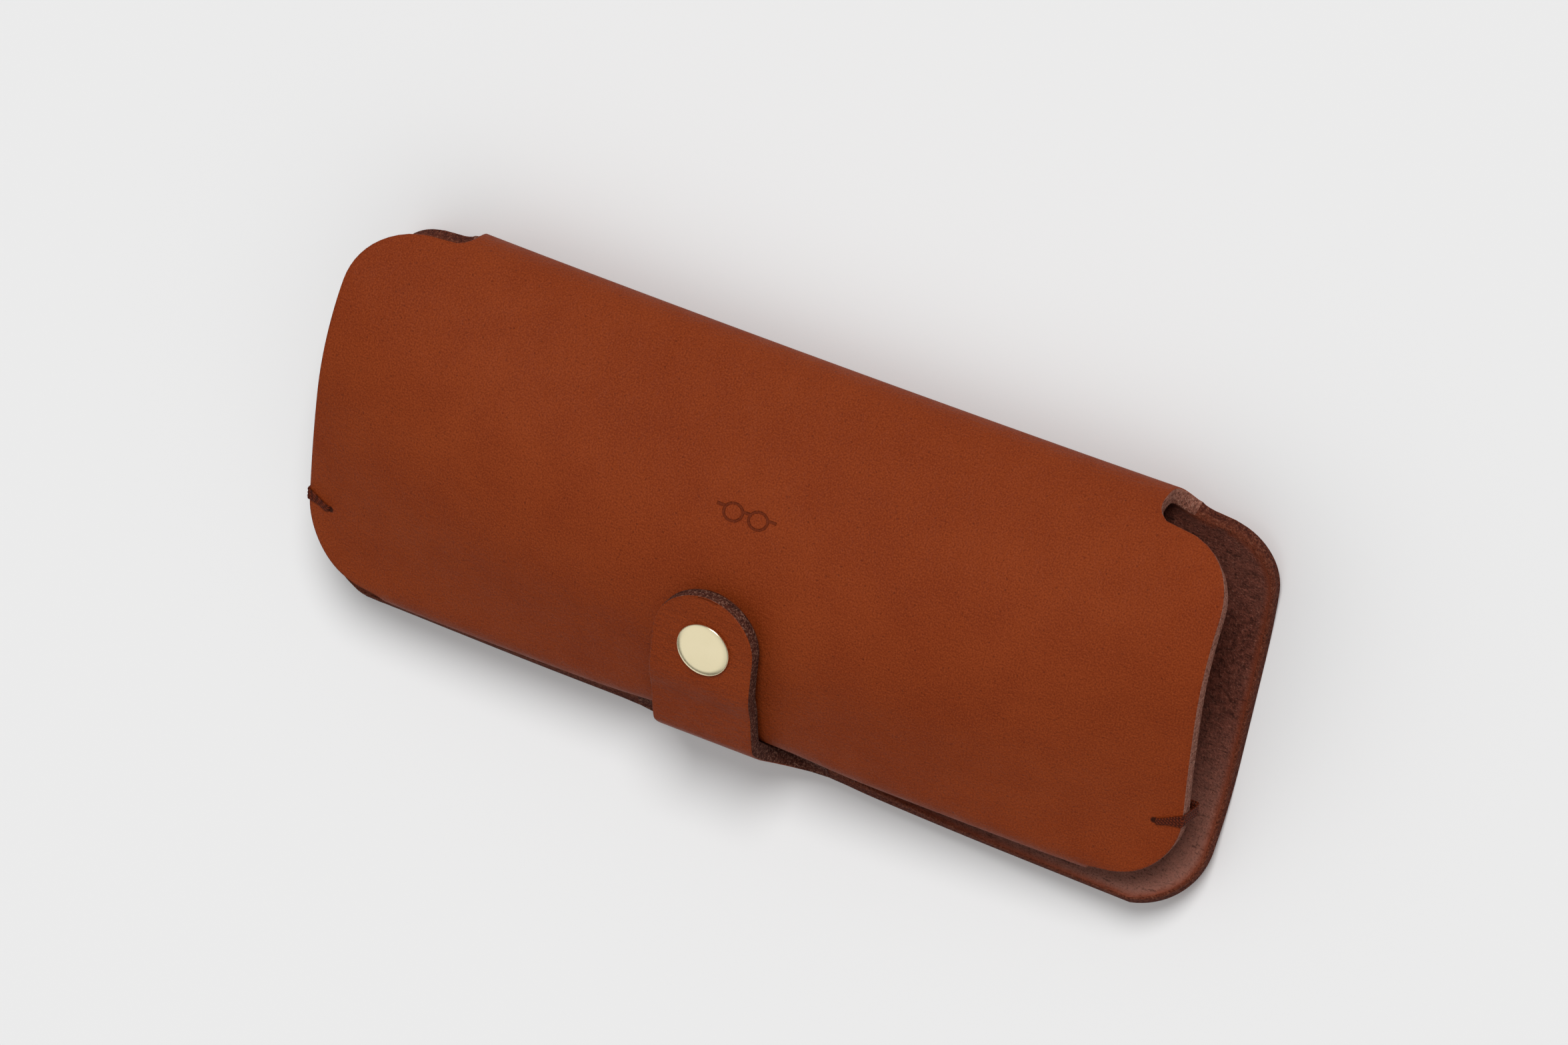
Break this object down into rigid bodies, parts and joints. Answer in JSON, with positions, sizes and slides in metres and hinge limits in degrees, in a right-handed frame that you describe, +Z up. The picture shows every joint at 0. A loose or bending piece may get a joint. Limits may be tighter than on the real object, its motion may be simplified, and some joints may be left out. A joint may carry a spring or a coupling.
{
  "type": "eyeglasses case",
  "caption": "Soft leather eyeglasses case, one folded sheet with end stitches and a snap tab, lying closed on its back.",
  "frame": {"origin": "centre of the bounding box's footprint, on the surface that the back panel lies on", "axes": "+X along the case's length, +Z up from the surface, +Y towards the top fold, away from the tab's root"},
  "size_m": [0.1736, 0.0745, 0.0356],
  "materials": {
    "leather_grain": "satin",
    "leather_flesh": "matte",
    "brass": "polished",
    "thread": "matte"
  },
  "bodies": {
    "back": {"back_panel": "leather_grain", "top_fold": "leather_grain", "tab_root": "leather_grain"},
    "pocket": {"front_panel": "leather_grain", "bottom_fold": "leather_grain", "inner_panel": "leather_flesh", "snap_stud": "brass", "snap_post": "brass", "stitch_left": "thread", "stitch_right": "thread"},
    "tab": {"closure_tab": "leather_grain", "snap_cap": "brass", "snap_socket": "brass"}
  },
  "joints": [
    {"name": "pocket_hinge", "type": "hinge", "parent": "back", "child": "pocket", "pos_m": [0, 0.0355, 0.0179], "axis": [-1, 0, 0], "range_deg": [0, 30]},
    {"name": "tab_hinge", "type": "hinge", "parent": "back", "child": "tab", "pos_m": [0, -0.03449, 0.01098], "axis": [1, 0, 0], "range_deg": [0, 150]}
  ],
  "couplings": [
    {"joint": "tab_hinge", "follows": "pocket_hinge", "ratio": 5}
  ]
}
